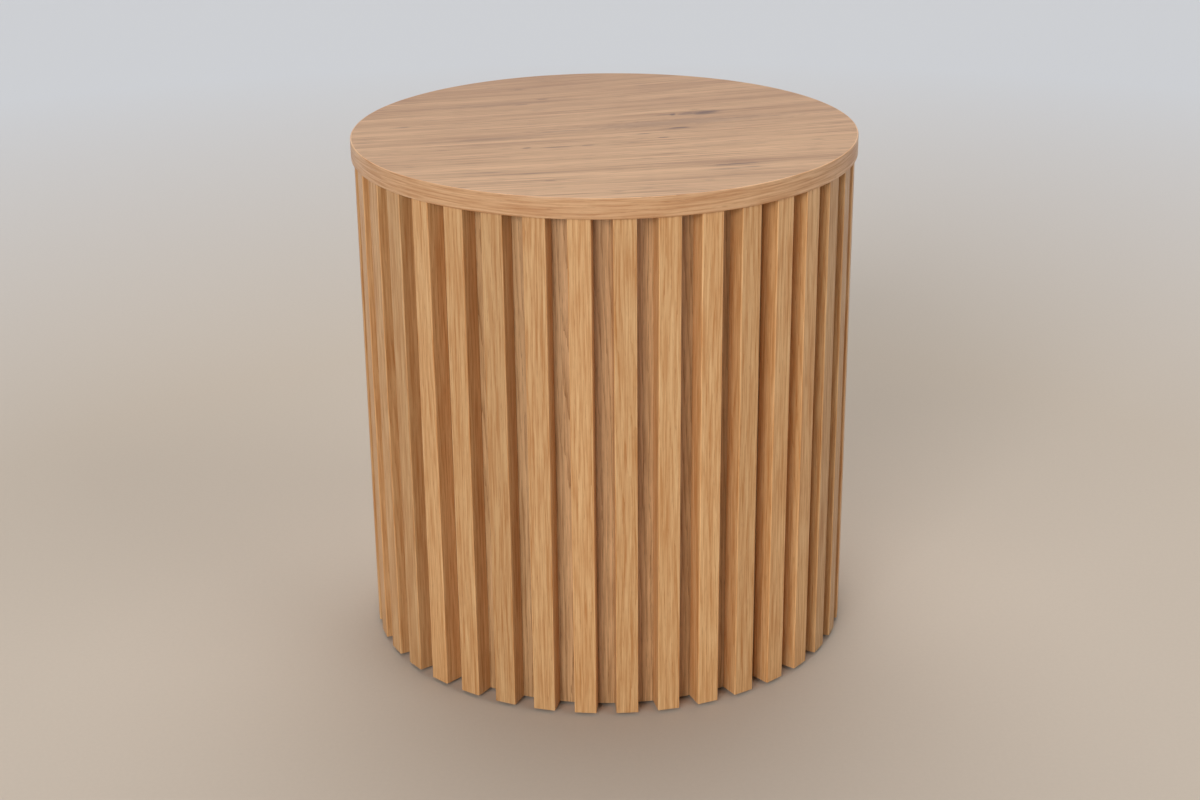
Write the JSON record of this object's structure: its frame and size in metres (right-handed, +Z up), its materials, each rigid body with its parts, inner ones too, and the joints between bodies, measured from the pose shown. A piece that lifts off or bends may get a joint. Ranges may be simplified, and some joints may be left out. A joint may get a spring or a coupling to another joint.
{
  "type": "lamp table",
  "caption": "Round drum side table: flat oak-look top on a ring of upright square slats in front of a curved drum wall.",
  "frame": {"origin": "on the floor under the middle of the table", "axes": "+Z up along the drum's axis; the picture looks along +Y, with +X to the right"},
  "size_m": [0.4799, 0.48, 0.5],
  "materials": {
    "oak_top_decor": "satin oak decor laminate with knots",
    "oak_edge_band": "satin oak-look edge band",
    "oak_slat_wrap": "satin oak-look foil wrapped on fibre board",
    "oak_wall_veneer": "satin oak-look face on bent board, upright grain",
    "backing_sheet": "matt balancing sheet",
    "particle_board": "raw particle board",
    "fibre_board": "raw medium-density fibre board",
    "pine": "planed softwood",
    "beech": "fluted hardwood dowel",
    "zinc_plated_steel": "bright zinc plate",
    "black_plastic": "moulded matt black"
  },
  "bodies": {
    "root": {"base_board": "fibre_board", "drum_wall_front": "oak_wall_veneer", "drum_wall_rear": "oak_wall_veneer", "glide_nails": "zinc_plated_steel", "glide_pads": "black_plastic", "middle_ring": "fibre_board", "middle_ring_screws": "zinc_plated_steel", "post_1": "pine", "post_2": "pine", "post_3": "pine", "post_4": "pine", "post_screws": "zinc_plated_steel", "slat_01": "oak_slat_wrap", "slat_02": "oak_slat_wrap", "slat_03": "oak_slat_wrap", "slat_04": "oak_slat_wrap", "slat_05": "oak_slat_wrap", "slat_06": "oak_slat_wrap", "slat_07": "oak_slat_wrap", "slat_08": "oak_slat_wrap", "slat_09": "oak_slat_wrap", "slat_10": "oak_slat_wrap", "slat_11": "oak_slat_wrap", "slat_12": "oak_slat_wrap", "slat_13": "oak_slat_wrap", "slat_14": "oak_slat_wrap", "slat_15": "oak_slat_wrap", "slat_16": "oak_slat_wrap", "slat_17": "oak_slat_wrap", "slat_18": "oak_slat_wrap", "slat_19": "oak_slat_wrap", "slat_20": "oak_slat_wrap", "slat_21": "oak_slat_wrap", "slat_22": "oak_slat_wrap", "slat_23": "oak_slat_wrap", "slat_24": "oak_slat_wrap", "slat_25": "oak_slat_wrap", "slat_26": "oak_slat_wrap", "slat_27": "oak_slat_wrap", "slat_28": "oak_slat_wrap", "slat_29": "oak_slat_wrap", "slat_30": "oak_slat_wrap", "slat_31": "oak_slat_wrap", "slat_32": "oak_slat_wrap", "slat_33": "oak_slat_wrap", "slat_34": "oak_slat_wrap", "slat_35": "oak_slat_wrap", "slat_36": "oak_slat_wrap", "slat_37": "oak_slat_wrap", "slat_38": "oak_slat_wrap", "slat_screws": "zinc_plated_steel", "top_backing_sheet": "backing_sheet", "top_core": "particle_board", "top_dowels": "beech", "top_edge_band": "oak_edge_band", "top_laminate": "oak_top_decor", "top_screws": "zinc_plated_steel", "upper_ring": "fibre_board"}
  },
  "joints": []
}
